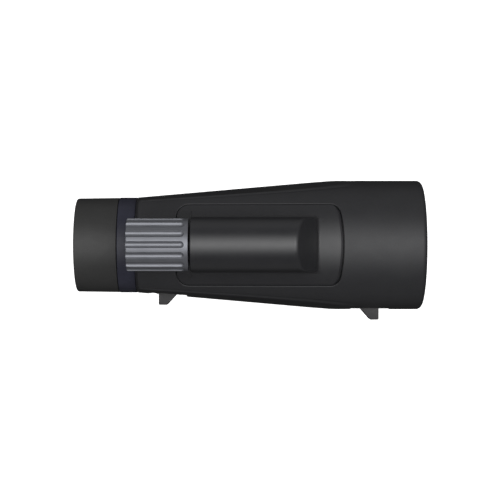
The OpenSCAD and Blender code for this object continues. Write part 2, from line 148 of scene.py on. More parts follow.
# ------------------------------------------------------------------ meshes
def build(name, V, F, body, material, N=None, replaces=(), mats=None, fmat=None, auto=32.0, weld=2e-4):
    """A closed piece from points in mm, heights from the optical axis; N gives a normal for each point before welding."""
    V = np.asarray(V, float)
    key = np.round(V / weld).astype(np.int64)
    _, first, inv = np.unique(key, axis=0, return_index=True, return_inverse=True)
    inv = inv.reshape(-1)
    VV = V[first] + np.array([0, 0, AZ])
    faces, src, fm = [], [], []
    for i, f in enumerate(F):
        g, s = [], []
        for v in f:
            w = inv[v]
            if (not g or g[-1] != w) and w not in g:
                g.append(int(w))
                s.append(v)
        if len(g) >= 3:
            faces.append(g)
            src.append(s)
            fm.append(0 if fmat is None else fmat[i])
    me = bpy.data.meshes.new(name)
    me.from_pydata((VV * 0.001).tolist(), [], faces)
    me.polygons.foreach_set("use_smooth", [True] * len(me.polygons))
    for m in (mats or [material]):
        me.materials.append(m)
    me.polygons.foreach_set("material_index", fm)
    if N is None:
        bm = bmesh.new()
        bm.from_mesh(me)
        bmesh.ops.recalc_face_normals(bm, faces=bm.faces)
        lim = math.radians(auto)
        for e in bm.edges:
            if len(e.link_faces) == 2 and e.calc_face_angle(0) > lim:
                e.smooth = False
        bm.to_mesh(me)
        bm.free()
    else:
        N = unit(np.asarray(N, float))
        ln = []
        for f, s in zip(faces, src):
            q = VV[f]
            area = np.cross(q, np.roll(q, -1, 0)).sum(0)
            if float(area @ N[s].sum(0)) < 0:
                f.reverse()
                s.reverse()
        me.clear_geometry()
        me.from_pydata((VV * 0.001).tolist(), [], faces)
        me.polygons.foreach_set("use_smooth", [True] * len(me.polygons))
        me.polygons.foreach_set("material_index", fm)
        ln = [N[v] for s in src for v in s]
        me.normals_split_custom_set([tuple(n) for n in ln])
    me.update()
    ob = bpy.data.objects.new(name, me)
    bpy.context.scene.collection.objects.link(ob)
    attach(ob, body)
    if replaces:
        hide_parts(*replaces)
    return ob


def grid_faces(nu, nv, base=0, wrap_v=False, flip=False):
    F = []
    for i in range(nu - 1):
        for j in range(nv if wrap_v else nv - 1):
            a = base + i * nv + j
            b = base + i * nv + (j + 1) % nv
            c = base + (i + 1) * nv + (j + 1) % nv
            d = base + (i + 1) * nv + j
            F.append([a, d, c, b] if flip else [a, b, c, d])
    return F


def rounded(points, closed=True, seg=5):
    """Points (x, r, fillet radius) to a profile with true fillets."""
    out = []
    n = len(points)
    for i in range(n):
        p = np.array(points[i][:2], float)
        rad = points[i][2] if len(points[i]) > 2 else 0
        if rad <= 0 or (not closed and i in (0, n - 1)):
            out.append(tuple(p))
            continue
        a = np.array(points[i - 1][:2], float) - p
        b = np.array(points[(i + 1) % n][:2], float) - p
        la, lb = np.linalg.norm(a), np.linalg.norm(b)
        a, b = a / la, b / lb
        ang = math.acos(max(-1, min(1, float(a @ b))))
        t = min(rad / math.tan(ang / 2), 0.49 * la, 0.49 * lb)
        rr = t * math.tan(ang / 2)
        c = p + unit((a + b)[None])[0] * rr / math.sin(ang / 2)
        p0, p1 = p + a * t, p + b * t
        a0 = math.atan2(*(p0 - c)[::-1])
        a1 = math.atan2(*(p1 - c)[::-1])
        d = (a1 - a0 + math.pi) % (2 * math.pi) - math.pi
        k = seg if rr > 0.15 else 2
        for j in range(k + 1):
            an = a0 + d * j / k
            out.append((c[0] + rr * math.cos(an), c[1] + rr * math.sin(an)))
    return out


def turned(name, profile, body, material, z=0.0, n=128, replaces=(), seg=5, fmat=None, mats=None, shape=None):
    """A solid turned about an axis along X. profile: (x, r, fillet); closed, or ending on the axis."""
    pr = rounded(profile, True, seg)
    on_axis = any(r < 1e-6 for _, r in pr)
    V, F, FM = [], [], []
    m = len(pr)
    for (x, r) in pr:
        for j in range(n):
            t = 2 * math.pi * j / n
            rr = r if shape is None else shape(x, r, t)
            V.append((x, rr * math.cos(t), rr * math.sin(t) + z))
    for i in range(m):
        k = (i + 1) % m
        if on_axis and pr[i][1] < 1e-6 and pr[k][1] < 1e-6:
            continue
        for j in range(n):
            F.append([i * n + j, i * n + (j + 1) % n, k * n + (j + 1) % n, k * n + j])
            if fmat is not None:
                FM.append(fmat(0.5 * (pr[i][0] + pr[k][0]), 0.5 * (pr[i][1] + pr[k][1])))
    return build(name, V, F, body, material, replaces=replaces, mats=mats, fmat=FM if fmat is not None else None)


# ------------------------------------------------------------------ materials
def nodes_of(name):
    m = bpy.data.materials.new(name)
    m.use_nodes = True
    nt = m.node_tree
    nt.nodes.clear()
    out = nt.nodes.new("ShaderNodeOutputMaterial")
    bs = nt.nodes.new("ShaderNodeBsdfPrincipled")
    nt.links.new(bs.outputs[0], out.inputs[0])
    co = nt.nodes.new("ShaderNodeTexCoord")
    return m, nt, bs, co


def add_noise(nt, co, scale, detail=4.0, rough=0.55, stretch=None):
    src = co.outputs["Object"]
    if stretch is not None:
        mp = nt.nodes.new("ShaderNodeMapping")
        mp.inputs["Scale"].default_value = stretch
        nt.links.new(src, mp.inputs["Vector"])
        src = mp.outputs[0]
    t = nt.nodes.new("ShaderNodeTexNoise")
    t.inputs["Scale"].default_value = scale
    t.inputs["Detail"].default_value = detail
    t.inputs["Roughness"].default_value = rough
    nt.links.new(src, t.inputs["Vector"])
    return t


def span(nt, sock, lo, hi, a=0.3, b=0.7):
    r = nt.nodes.new("ShaderNodeMapRange")
    r.inputs["From Min"].default_value = a
    r.inputs["From Max"].default_value = b
    r.inputs["To Min"].default_value = lo
    r.inputs["To Max"].default_value = hi
    nt.links.new(sock, r.inputs["Value"])
    return r.outputs[0]


def finish_material(name, lo, hi, rough, spec=0.5, metal=0.0, mottle=120.0, grain=None, rvar=0.05, coat=0.0, coat_rough=0.2,
                    spun=None, sheen=0.0, fine=None, ior=None, cells=None):
    """lo and hi: the two colours the slow mottle runs between. grain: (scale, bump mm). spun: (scale, bump mm) for turned lines."""
    m, nt, bs, co = nodes_of(name)
    n1 = add_noise(nt, co, mottle, 5.0)
    mix = nt.nodes.new("ShaderNodeMix")
    mix.data_type = "RGBA"
    mix.inputs["A"].default_value = (*lo, 1)
    mix.inputs["B"].default_value = (*hi, 1)
    nt.links.new(span(nt, n1.outputs["Fac"], 0, 1), mix.inputs["Factor"])
    col = mix.outputs["Result"]
    if fine:
        n3 = add_noise(nt, co, fine[0], 3.0, 0.7)
        mx = nt.nodes.new("ShaderNodeMix")
        mx.data_type = "RGBA"
        mx.blend_type = "MULTIPLY"
        mx.inputs["Factor"].default_value = 1.0
        nt.links.new(col, mx.inputs["A"])
        cr = nt.nodes.new("ShaderNodeCombineColor")
        v = span(nt, n3.outputs["Fac"], 1 - fine[1], 1 + fine[1], 0.35, 0.65)
        for i in range(3):
            nt.links.new(v, cr.inputs[i])
        nt.links.new(cr.outputs[0], mx.inputs["B"])
        col = mx.outputs["Result"]
    nt.links.new(col, bs.inputs["Base Color"])
    n2 = add_noise(nt, co, mottle * 2.3, 4.0)
    nt.links.new(span(nt, n2.outputs["Fac"], rough - rvar, rough + rvar), bs.inputs["Roughness"])
    bs.inputs["Metallic"].default_value = metal
    bs.inputs["Specular IOR Level"].default_value = spec
    if ior:
        bs.inputs["IOR"].default_value = ior
    bs.inputs["Coat Weight"].default_value = coat
    bs.inputs["Coat Roughness"].default_value = coat_rough
    bs.inputs["Sheen Weight"].default_value = sheen
    last = None
    for tex in ("grain", "cells", "spun"):
        spec_t = {"grain": grain, "cells": cells, "spun": spun}[tex]
        if not spec_t:
            continue
        if tex == "cells":
            t = nt.nodes.new("ShaderNodeTexVoronoi")
            t.inputs["Scale"].default_value = spec_t[0]
            nt.links.new(co.outputs["Object"], t.inputs["Vector"])
            h = t.outputs["Distance"]
        elif tex == "spun":
            sep = nt.nodes.new("ShaderNodeSeparateXYZ")
            nt.links.new(co.outputs["Object"], sep.inputs[0])
            cmb = nt.nodes.new("ShaderNodeCombineXYZ")
            nt.links.new(sep.outputs[0], cmb.inputs[0])
            t = nt.nodes.new("ShaderNodeTexNoise")
            t.inputs["Scale"].default_value = spec_t[0]
            t.inputs["Detail"].default_value = 3.0
            nt.links.new(cmb.outputs[0], t.inputs["Vector"])
            h = t.outputs["Fac"]
        else:
            t = add_noise(nt, co, spec_t[0], 2.0, 0.6)
            h = t.outputs["Fac"]
        bp = nt.nodes.new("ShaderNodeBump")
        bp.inputs["Distance"].default_value = spec_t[1] * 0.001
        bp.inputs["Strength"].default_value = 1.0
        nt.links.new(h, bp.inputs["Height"])
        if last is not None:
            nt.links.new(last.outputs[0], bp.inputs["Normal"])
        last = bp
    if last is not None:
        nt.links.new(last.outputs[0], bs.inputs["Normal"])
    return m


def g(v, warm=0.0):
    return (v * (1 + warm), v, v * (1 - warm))


M = {}
M["armor"] = finish_material("armor_rubber", (0.0204, 0.0206, 0.0226), (0.0234, 0.0236, 0.0257), 0.50, spec=0.42, mottle=90, grain=(5200, 0.006), rvar=0.03, fine=(2600, 0.10))
M["panel"] = finish_material("bridge_panel", (0.0198, 0.0200, 0.0220), (0.0224, 0.0226, 0.0246), 0.42, spec=0.52, mottle=110, grain=(7000, 0.003), rvar=0.03, fine=(3400, 0.07))
M["bridge"] = finish_material("bridge_shell", (0.0196, 0.0198, 0.0220), (0.0222, 0.0224, 0.0246), 0.36, spec=0.60, mottle=110, grain=(7000, 0.003), rvar=0.03, fine=(3400, 0.07))
M["knob"] = finish_material("knob_grey", (0.176, 0.181, 0.201), (0.195, 0.201, 0.222), 0.42, spec=0.5, metal=0.64, mottle=160, grain=(6500, 0.003), rvar=0.03, fine=(3800, 0.05))
M["knob_cap"] = finish_material("knob_cap_spun", (0.170, 0.175, 0.194), (0.188, 0.193, 0.214), 0.36, spec=0.5, metal=0.64, mottle=160, spun=(9000, 0.004), rvar=0.04)
M["collar"] = finish_material("collar_blue", (0.0225, 0.0232, 0.0365), (0.0260, 0.0268, 0.0420), 0.48, spec=0.37, mottle=200, grain=(6000, 0.0025), rvar=0.03, fine=(3000, 0.06))
M["cup"] = finish_material("cup_rubber", (0.0255, 0.0255, 0.0252), (0.0295, 0.0295, 0.0292), 0.56, spec=0.45, mottle=140, grain=(4600, 0.007), rvar=0.03, fine=(2200, 0.10))
M["lug"] = finish_material("lug_grey", (0.026, 0.0255, 0.0265), (0.032, 0.0315, 0.0325), 0.55, spec=0.32, mottle=260, grain=(5200, 0.004), rvar=0.05, fine=(2400, 0.10))
M["chassis"] = finish_material("chassis_anodised", (0.012, 0.012, 0.0125), (0.017, 0.017, 0.0175), 0.45, spec=0.5, mottle=200, grain=(6000, 0.003), rvar=0.05)
M["black"] = finish_material("optical_black", (0.008, 0.008, 0.008), (0.012, 0.012, 0.012), 0.55, spec=0.4, mottle=240, spun=(7000, 0.004), rvar=0.05)
M["plastic"] = finish_material("black_moulding", (0.014, 0.014, 0.0145), (0.019, 0.019, 0.0195), 0.5, spec=0.45, mottle=200, grain=(5200, 0.004), rvar=0.05)
M["seal"] = finish_material("seal_rubber", (0.010, 0.010, 0.010), (0.014, 0.014, 0.014), 0.5, spec=0.4, mottle=400, grain=(7000, 0.003))
M["steel"] = finish_material("bright_steel", (0.50, 0.50, 0.51), (0.60, 0.60, 0.61), 0.28, metal=1.0, mottle=300, spun=(8000, 0.002), rvar=0.06)
M["black_steel"] = finish_material("black_oxide", (0.030, 0.030, 0.032), (0.045, 0.045, 0.048), 0.38, metal=0.6, mottle=600, grain=(8000, 0.003), rvar=0.06)
M["brass"] = finish_material("turned_brass", (0.52, 0.36, 0.13), (0.62, 0.44, 0.17), 0.30, metal=1.0, mottle=300, spun=(8000, 0.003), rvar=0.06)


def glass_material(name, tint, coat_tint, rough=0.02):
    """A coated optical surface: dark clear depth under a tinted reflection."""
    m, nt, bs, co = nodes_of(name)
    out = [n for n in nt.nodes if n.type == "OUTPUT_MATERIAL"][0]
    n1 = add_noise(nt, co, 60, 2.0)
    mix = nt.nodes.new("ShaderNodeMix")
    mix.data_type = "RGBA"
    mix.inputs["A"].default_value = (*tint, 1)
    mix.inputs["B"].default_value = (*[c * 1.15 for c in tint], 1)
    nt.links.new(span(nt, n1.outputs["Fac"], 0, 1), mix.inputs["Factor"])
    nt.links.new(mix.outputs["Result"], bs.inputs["Base Color"])
    n2 = add_noise(nt, co, 220, 3.0)
    nt.links.new(span(nt, n2.outputs["Fac"], rough * 0.6, rough * 1.6), bs.inputs["Roughness"])
    bs.inputs["Transmission Weight"].default_value = 0.0
    bs.inputs["Specular IOR Level"].default_value = 0.55
    bs.inputs["Specular Tint"].default_value = (*coat_tint, 1)
    bs.inputs["Coat Weight"].default_value = 0.25
    bs.inputs["Coat Roughness"].default_value = 0.02
    bs.inputs["Coat Tint"].default_value = (*coat_tint, 1)
    return m


M["lens"] = glass_material("lens_coated", (0.006, 0.013, 0.012), (0.45, 0.95, 0.70))
M["eye_lens"] = glass_material("eye_lens_coated", (0.010, 0.008, 0.016), (0.70, 0.55, 1.0))
M["prism"] = glass_material("prism_glass", (0.30, 0.36, 0.36), (0.9, 1.0, 1.0), 0.05)

CARRY = {
    "chassis": "chassis", "objective_tube": "black", "bridge_screws": "steel", "objective_front_lens": "lens", "objective_rear_lens": "lens",
    "objective_o_ring": "seal", "baffle_ring": "black", "prism_cage": "plastic", "roof_prism": "prism", "half_penta_prism": "prism",
    "prism_clamp": "steel", "prism_screws": "steel", "eyepiece_barrel": "black", "eye_lens": "eye_lens",
    "doublet_rear_lens": "eye_lens", "doublet_front_lens": "eye_lens", "field_lens": "eye_lens", "field_stop": "black",
    "eyepiece_spacer": "plastic", "eyepiece_retaining_ring": "black", "eyepiece_o_ring": "seal", "lug_screws": "black_steel",
    "tripod_foot": "bridge", "tripod_insert": "brass", "foot_screws": "black_steel", "focus_bushing": "black_steel",
    "focus_shaft_o_ring": "seal", "focus_end_bearing": "brass", "guide_rods": "steel", "click_ring": "black",
    "detent_ball": "steel", "eyecup_sleeve": "plastic", "knob_hub": "plastic", "knob_screw": "steel", "focus_screw": "black_steel",
    "focus_arm": "chassis", "focus_lens_cell": "black", "focus_lens": "lens", "focus_lens_ring": "black",
    "objective_cell": "black", "objective_retaining_ring": "black", "eyepiece_collar": "collar", "knob_cap": "knob_cap",
    "rubber_armor": "armor", "focus_bridge": "bridge", "eyecup_rubber": "cup", "rear_strap_lug": "lug", "front_strap_lug": "lug",
    "knob_grip": "knob",
}
for node, key in CARRY.items():
    ob = NODES[node]
    if not ob.material_slots:
        ob.data.materials.append(M[key])
    for s in ob.material_slots:
        s.material = M[key]


# ------------------------------------------------------------------ outlines
def front_edge(y):
    return 37.9 - 0.33 * (27.0 - np.sqrt(np.maximum(26.9 ** 2 - np.asarray(y) ** 2, 0)))


def panel_line(low=16.5):
    """The saddle panel's edge in plan, anticlockwise, as points."""
    pts = []
    r = 5.0
    fx, fy, f = 32.75, 12.5, 4.0
    for a in np.linspace(180, 270, 12):
        pts.append((-29.9 + r + r * math.cos(math.radians(a)), -low + r + r * math.sin(math.radians(a))))
    xs = np.linspace(-24.6, 32.5, 42)
    pts += [(x, -low) for x in xs]
    for a in np.linspace(270, 349, 11):
        pts.append((fx + f * math.cos(math.radians(a)), f - low + f * math.sin(math.radians(a))))
    for y in np.linspace(-13.0, 13.0, 21):
        pts.append((float(front_edge(y)), y))
    for a in np.linspace(11, 90, 11):
        pts.append((fx + f * math.cos(math.radians(a)), fy + f * math.sin(math.radians(a))))
    pts += [(x, 16.5) for x in xs[::-1]]
    for a in np.linspace(90, 180, 12):
        pts.append((-29.9 + r + r * math.cos(math.radians(a)), 16.5 - r + r * math.sin(math.radians(a))))
    for y in np.linspace(11.2, -11.2, 20):
        pts.append((-29.9, y))
    return np.array(pts)


def rect_line(x0, x1, y0, y1, r, step=1.2):
    pts = []
    for cx, cy, a0 in ((x0 + r, y0 + r, 180), (x1 - r, y0 + r, 270), (x1 - r, y1 - r, 0), (x0 + r, y1 - r, 90)):
        for a in np.linspace(a0, a0 + 90, 7):
            pts.append((cx + r * math.cos(math.radians(a)), cy + r * math.sin(math.radians(a))))
    out = []
    n = len(pts)
    for i in range(n):
        p, q = np.array(pts[i]), np.array(pts[(i + 1) % n])
        out.append(p)
        k = int(np.linalg.norm(q - p) / step)
        for j in range(1, k):
            out.append(p + (q - p) * j / k)
    return np.array(out)


def outward(line):
    """Unit normals of a closed anticlockwise line, pointing outwards."""
    t = np.roll(line, -1, 0) - np.roll(line, 1, 0)
    n = np.stack([t[:, 1], -t[:, 0]], -1)
    return unit(n)


def edge_distance(line, x, y):
    """Distance from points to a closed line."""
    a = line
    b = np.roll(line, -1, 0)
    d = b - a
    L = (d * d).sum(1)
    best = np.full(x.shape, 1e9)
    for (ax, ay), (dx, dy), ll in zip(a, d, L):
        t = np.clip(((x - ax) * dx + (y - ay) * dy) / max(ll, 1e-12), 0, 1)
        best = np.minimum(best, (x - ax - t * dx) ** 2 + (y - ay - t * dy) ** 2)
    return np.sqrt(best)


def to_phi_top(x, y):
    phi = np.arccos(np.clip(y / 25, -1, 1))
    for _ in range(30):
        phi = 0.5 * phi + 0.5 * np.arccos(np.clip(y / skin_r(x, phi), -1, 1))
    return phi


def to_phi_bottom(x, y):
    return 2 * math.pi - to_phi_top(x, y)


def to_phi_right(x, z):
    """Side at -Y: angle from the point's height."""
    phi = math.pi - np.arcsin(np.clip(z / 25, -1, 1))
    for _ in range(30):
        phi = 0.5 * phi + 0.5 * (math.pi - np.arcsin(np.clip(z / skin_r(x, phi), -1, 1)))
    return phi


# ------------------------------------------------------------------ rubber armour
def make_armor():
    X, A, D, NRM, OUT = [], [], [], [], []     # x, unrolled angle, drop below the skin, own normal or None
    E = []

    def put(xs, phis, drop=0.0, nrm=None):
        base = len(X)
        for i in range(len(xs)):
            X.append(float(xs[i]))
            A.append(float(phis[i]) * UNROLL)
            D.append(float(drop))
            NRM.append(None if nrm is None else nrm[i])
        return base

    xlo, xhi = X_ARM + 0.25, X_RIM - RIM
    nphi = 150
    phis = np.linspace(0, 2 * math.pi, nphi + 1)
    xs = np.concatenate([xlo + np.array([0, 0.1, 0.22, 0.36, 0.52, 0.7, 0.9, 1.12, 1.34, 1.6, 2.1, 2.8]), np.linspace(xlo + 3.7, xhi, 82)])
    # borders of the flat pattern
    b0 = put([xlo] * (nphi + 1), phis)
    b1 = put([xhi] * (nphi + 1), phis)
    E += [(b0 + i, b0 + i + 1) for i in range(nphi)] + [(b1 + i, b1 + i + 1) for i in range(nphi)]
    for ph, at in ((0.0, (b0, b1)), (2 * math.pi, (b0 + nphi, b1 + nphi))):
        c = put(xs[1:-1], [ph] * (len(xs) - 2))
        chain = [at[0]] + list(range(c, c + len(xs) - 2)) + [at[1]]
        E += list(zip(chain[:-1], chain[1:]))
    holes, bands = [], []

    def opening(line, to_phi, gap, fil):
        n2 = outward(line)
        rings = []
        steps = [0, 22.5, 45, 67.5, 90]
        offs = [(gap + fil * (1 - math.cos(math.radians(t))), fil * (1 - math.sin(math.radians(t))), t) for t in steps]
        offs += [(gap + fil + 0.35, 0.0, None), (gap + fil + 1.0, 0.0, None)]
        for e, drop, t in offs:
            q = line + n2 * e
            ph = to_phi(q[:, 0], q[:, 1])
            nrm = None
            if t is not None:
                q2 = line + n2 * (e + 0.2)
                ph2 = to_phi(q2[:, 0], q2[:, 1])
                gdir = unit(skin(q2[:, 0], ph2) - skin(q[:, 0], ph))
                nn = skin_n(q[:, 0], ph)
                nrm = nn * math.sin(math.radians(t)) - gdir * math.cos(math.radians(t))
            b = put(q[:, 0], ph, drop, nrm)
            n = len(q)
            E.extend([(b + i, b + (i + 1) % n) for i in range(n)])
            rings.append(np.stack([q[:, 0], ph * UNROLL], -1))
        holes.append(rings[0])
        bands.append(rings[-1])

    opening(panel_line(16.7), to_phi_top, 0.22, 0.28)
    opening(rect_line(-42.2, -26.6, -6.8, 5.9, 0.8), to_phi_right, 0.14, 0.24)
    opening(rect_line(42.2, 58.2, -6.8, 5.9, 0.8), to_phi_right, 0.14, 0.24)
    # the outline's turning sense is mirrored under the body, so it's given the other way round
    opening(rect_line(-18, 24, -13, 13, 4.0, 1.4), to_phi_bottom, 0.2, 0.5)
    # rows along the creases
    cx = np.linspace(xlo + 1.0, 44.0, 84)
    for quad in range(4):
        lo, hi = {0: (0.2, 1.4), 1: (math.pi - 1.4, math.pi - 0.2), 2: (math.pi + 0.2, math.pi + 1.4), 3: (2 * math.pi - 1.4, 2 * math.pi - 0.2)}[quad]
        ph = np.linspace(lo, hi, 400)
        gx, gp = np.meshgrid(cx, ph, indexing="ij")
        c = np.abs(np.cos(gp)) + (0.2 + 0.0014 * gx) * np.abs(np.sin(gp))
        e = half_w(gx) / c - crown(gx)
        sgn = np.argmin(np.abs(e), axis=1)
        good = np.abs(e[np.arange(len(cx)), sgn]) < 0.05
        pc = ph[sgn]
        side = 1 if quad in (0, 2) else -1       # towards the crown
        for off in (-1.3, -0.75, -0.35, 0.0, 0.3, 0.6, 0.95, 1.35, 1.75, 2.2, 2.8):
            pp = pc + side * off / 25.5
            keep = good & (cx > xlo + 0.8)
            put(cx[keep], pp[keep])
    # trough edge
    tx = np.linspace(-45.5, -30.9, 24)
    for s in (-1, 1):
        yb = []
        for x in tx:
            R = float(crown(x))
            z = (R * R - 11.4 ** 2 + KZ ** 2) / (2 * KZ)
            yb.append(math.sqrt(max(R * R - z * z, 0.01)))
        yb = np.array(yb)
        for off in (-0.9, -0.45, 0.0, 0.45, 0.9):
            ok = yb + off > 0.5
            put(tx[ok], to_phi_top(tx, s * (yb + off))[ok])
    special = np.stack([np.array(X), np.array(A)], -1)
    # the open field between them
    gx, ga = np.meshgrid(xs[1:-1], np.linspace(0, 2 * math.pi * UNROLL, nphi + 1)[1:-1], indexing="ij")
    gx = gx.ravel()
    ga = (ga + (np.arange(len(xs) - 2)[:, None] % 2) * 0.0).ravel()
    keep = np.ones(gx.shape, bool)
    for band in bands:
        keep &= ~inside(band, gx, ga)
    cell = {}
    for i, (px, pa) in enumerate(special):
        cell.setdefault((int(px // 1.0), int(pa // 1.0)), []).append((px, pa))
    for i in range(len(gx)):
        if not keep[i]:
            continue
        cxi, cai = int(gx[i] // 1.0), int(ga[i] // 1.0)
        for dx in (-1, 0, 1):
            for da in (-1, 0, 1):
                for (px, pa) in cell.get((cxi + dx, cai + da), ()):
                    if (px - gx[i]) ** 2 + (pa - ga[i]) ** 2 < 0.30:
                        keep[i] = False
    # special points that fall inside another feature's band go too
    put(gx[keep], ga[keep] / UNROLL)
    Xa, Aa = np.array(X), np.array(A)
    drop_pt = np.zeros(len(Xa), bool)
    in_edge = np.zeros(len(Xa), bool)
    for a, b in E:
        in_edge[a] = in_edge[b] = True
    for band in bands:
        drop_pt |= inside(band, Xa, Aa) & ~in_edge
    order = np.where(~drop_pt)[0]
    back = -np.ones(len(Xa), int)
    back[order] = np.arange(len(order))
    verts2 = [Vector((Xa[i], Aa[i])) for i in order]
    edges2 = [(int(back[a]), int(back[b])) for a, b in E]
    ov, oe, of, orig_v, orig_e, orig_f = delaunay_2d_cdt(verts2, edges2, [], 0, 1e-5)
    n0 = len(ov)
    px = np.array([v[0] for v in ov])
    pa = np.array([v[1] for v in ov])
    drop = np.zeros(n0)
    own = [None] * n0
    for i, src in enumerate(orig_v):
        if src:
            k = order[src[0]]
            px[i], pa[i] = Xa[k], Aa[k]
            drop[i] = D[k]
            own[i] = NRM[k]
    tri = [list(f) for f in of]
    cxm = np.array([np.mean([px[v] for v in f]) for f in tri])
    cam = np.array([np.mean([pa[v] for v in f]) for f in tri])
    gone = np.zeros(len(tri), bool)
    for h in holes:
        gone |= inside(h, cxm, cam)
    tri = [f for f, k in zip(tri, gone) if not k]
    phi = pa / UNROLL
    P = skin(px, phi)
    NN = skin_n(px, phi)
    P = P - NN * drop[:, None]
    N = NN.copy()
    for i, o in enumerate(own):
        if o is not None:
            N[i] = o
    # which way round
    a, b, c = (P[[f[k] for f in tri]] for k in range(3))
    nf = np.cross(b - a, c - a)
    radial = (a + b + c) / 3
    radial[:, 0] = 0
    sgn = np.sign((nf * radial).sum(1))
    tri = [f if s > 0 else f[::-1] for f, s in zip(tri, sgn)]
    V = [P]
    NL = [N]
    F = [list(f) for f in tri]
    # inner skin
    base = n0
    r_in = np.maximum(skin_r(px, phi) - AT, 5)
    PI = np.stack([px, r_in * np.cos(phi), r_in * np.sin(phi)], -1)
    V.append(PI)
    NL.append(-NN)
    F += [[v + base for v in f[::-1]] for f in tri]
    # walls of the openings: edges used by one face only
    count = {}
    for f in tri:
        for k in range(3):
            e = (f[k], f[(k + 1) % 3])
            count[e] = count.get(e, 0) + 1
    border = [e for e in count if (e[1], e[0]) not in count]
    total = 2 * n0
    lim = 1e-4
    wallV, wallN, wallF = [], [], []
    for (u, v) in border:
        if (abs(px[u] - xlo) < lim and abs(px[v] - xlo) < lim) or (abs(px[u] - xhi) < lim and abs(px[v] - xhi) < lim):
            continue
        if (abs(pa[u]) < lim and abs(pa[v]) < lim) or (abs(pa[u] - 2 * math.pi * UNROLL) < lim and abs(pa[v] - 2 * math.pi * UNROLL) < lim):
            continue
        k = total + len(wallV)
        wallV += [P[v], P[u], PI[u], PI[v]]
        nu = own[u] if own[u] is not None else NN[u]
        nv = own[v] if own[v] is not None else NN[v]
        wallN += [nv, nu, nu, nv]
        wallF.append([k, k + 1, k + 2, k + 3])
    if wallV:
        V.append(np.array(wallV))
        NL.append(np.array(wallN))
        F += wallF
        total += len(wallV)
    # turned ends
    pj = phis[:-1]

    def strip(profile):
        nonlocal total
        rows_p, rows_n = [], []
        for (x, r, nx, nr) in profile:
            if np.isscalar(r):
                r = np.full(nphi, r)
            rows_p.append(np.stack([np.full(nphi, x), r * np.cos(pj), r * np.sin(pj)], -1))
            q = np.stack([np.full(nphi, nx), nr * np.cos(pj), nr * np.sin(pj)], -1)
            rows_n.append(q)
        n = nphi
        V.append(np.concatenate(rows_p))
        NL.append(np.concatenate(rows_n))
        F.extend(grid_faces(len(profile), n, total, True, True))
        total += len(profile) * n

    rr = skin_r(np.full(nphi, xlo), pj)
    prof = [(xlo - 0.25 * math.sin(t), rr - 0.25 + 0.25 * math.cos(t), -math.sin(t), math.cos(t)) for t in np.linspace(0, math.pi / 2, 6)]
    prof += [(X_ARM, 18.95, -1, 0)]
    strip(prof[::-1])
    strip([(xlo, rr - AT, 0, -1), (X_ARM, 18.95, 0, -1)][::1])
    rf = OBJ
    prof = [(xhi + RIM * math.sin(t), rf - RIM + RIM * math.cos(t), math.sin(t), math.cos(t)) for t in np.linspace(0, math.pi / 2, 14)]
    # the skin ends at its own radius; its first ring is taken from it
    r_end = skin_r(np.full(nphi, xhi), pj)
    prof[0] = (xhi, r_end, 0, 1)
    prof += [(X_RIM, 24.15, 1, 0)]
    prof += [(X_RIM - 0.5 + 0.5 * math.cos(t), 24.15 - 0.5 * math.sin(t), math.cos(t), -math.sin(t)) for t in np.linspace(0, math.pi / 2, 5)]
    prof += [(70.36, 23.65, 0, -1)]
    strip(prof)
    strip([(70.36, 23.65, -1, 0), (70.36, 25.44, -1, 0)])
    strip([(70.36, 25.44, 0, -1), (xhi, r_end - AT, 0, -1)])
    return build("armor_cover", np.concatenate(V), F, "scope_body", M["armor"], N=np.concatenate(NL), replaces=("rubber_armor",))


armor = make_armor()


# ------------------------------------------------------------------ focus bridge: saddle panel and raised housing
HX0, HR, NX = -23.8, 11.1, 18.5


def bridge_f(x, y, z, rear):
    ra = np.hypot(y, z)
    panel = ra - (crown(x) - 0.30)
    tomb = np.where(z > KZ, np.hypot(y, z - KZ) - HR, np.abs(y) - HR)
    u = KZ + HR - z
    m = ((x - NX) - 0.80 * u + 0.0150 * np.clip(u, 0, 18) ** 2 + y * y * (0.004 + 0.0012 * np.clip(z - 24, 0, 12))) * 0.85
    h = rmax(tomb, m, 0.9)
    h = rmax(h, HX0 - x, 0.45)
    front = rmin(panel, h, 0.9)
    back = rmax(panel, 11.4 - np.hypot(y, z - KZ), 0.35)
    return np.where(rear, back, front)


def bridge_root(x, al, rear):
    """Radius along a ray at angle al from straight up."""
    sy, cz = np.sin(al), np.cos(al)
    hi = np.full(x.shape, 46.0)
    lo = np.full(x.shape, 12.0)
    # march in from outside, then halve
    r = hi.copy()
    done = np.zeros(x.shape, bool)
    for _ in range(140):
        f = bridge_f(x, r * sy, r * cz, rear)
        done |= f <= 1e-5
        r = np.where(done, r, r - np.maximum(0.02, 0.25))
        if done.all():
            break
    lo = r
    hi = r + 0.25
    for _ in range(24):
        mid = 0.5 * (lo + hi)
        f = bridge_f(x, mid * sy, mid * cz, rear)
        lo = np.where(f <= 1e-5, mid, lo)
        hi = np.where(f <= 1e-5, hi, mid)
    return 0.5 * (lo + hi)


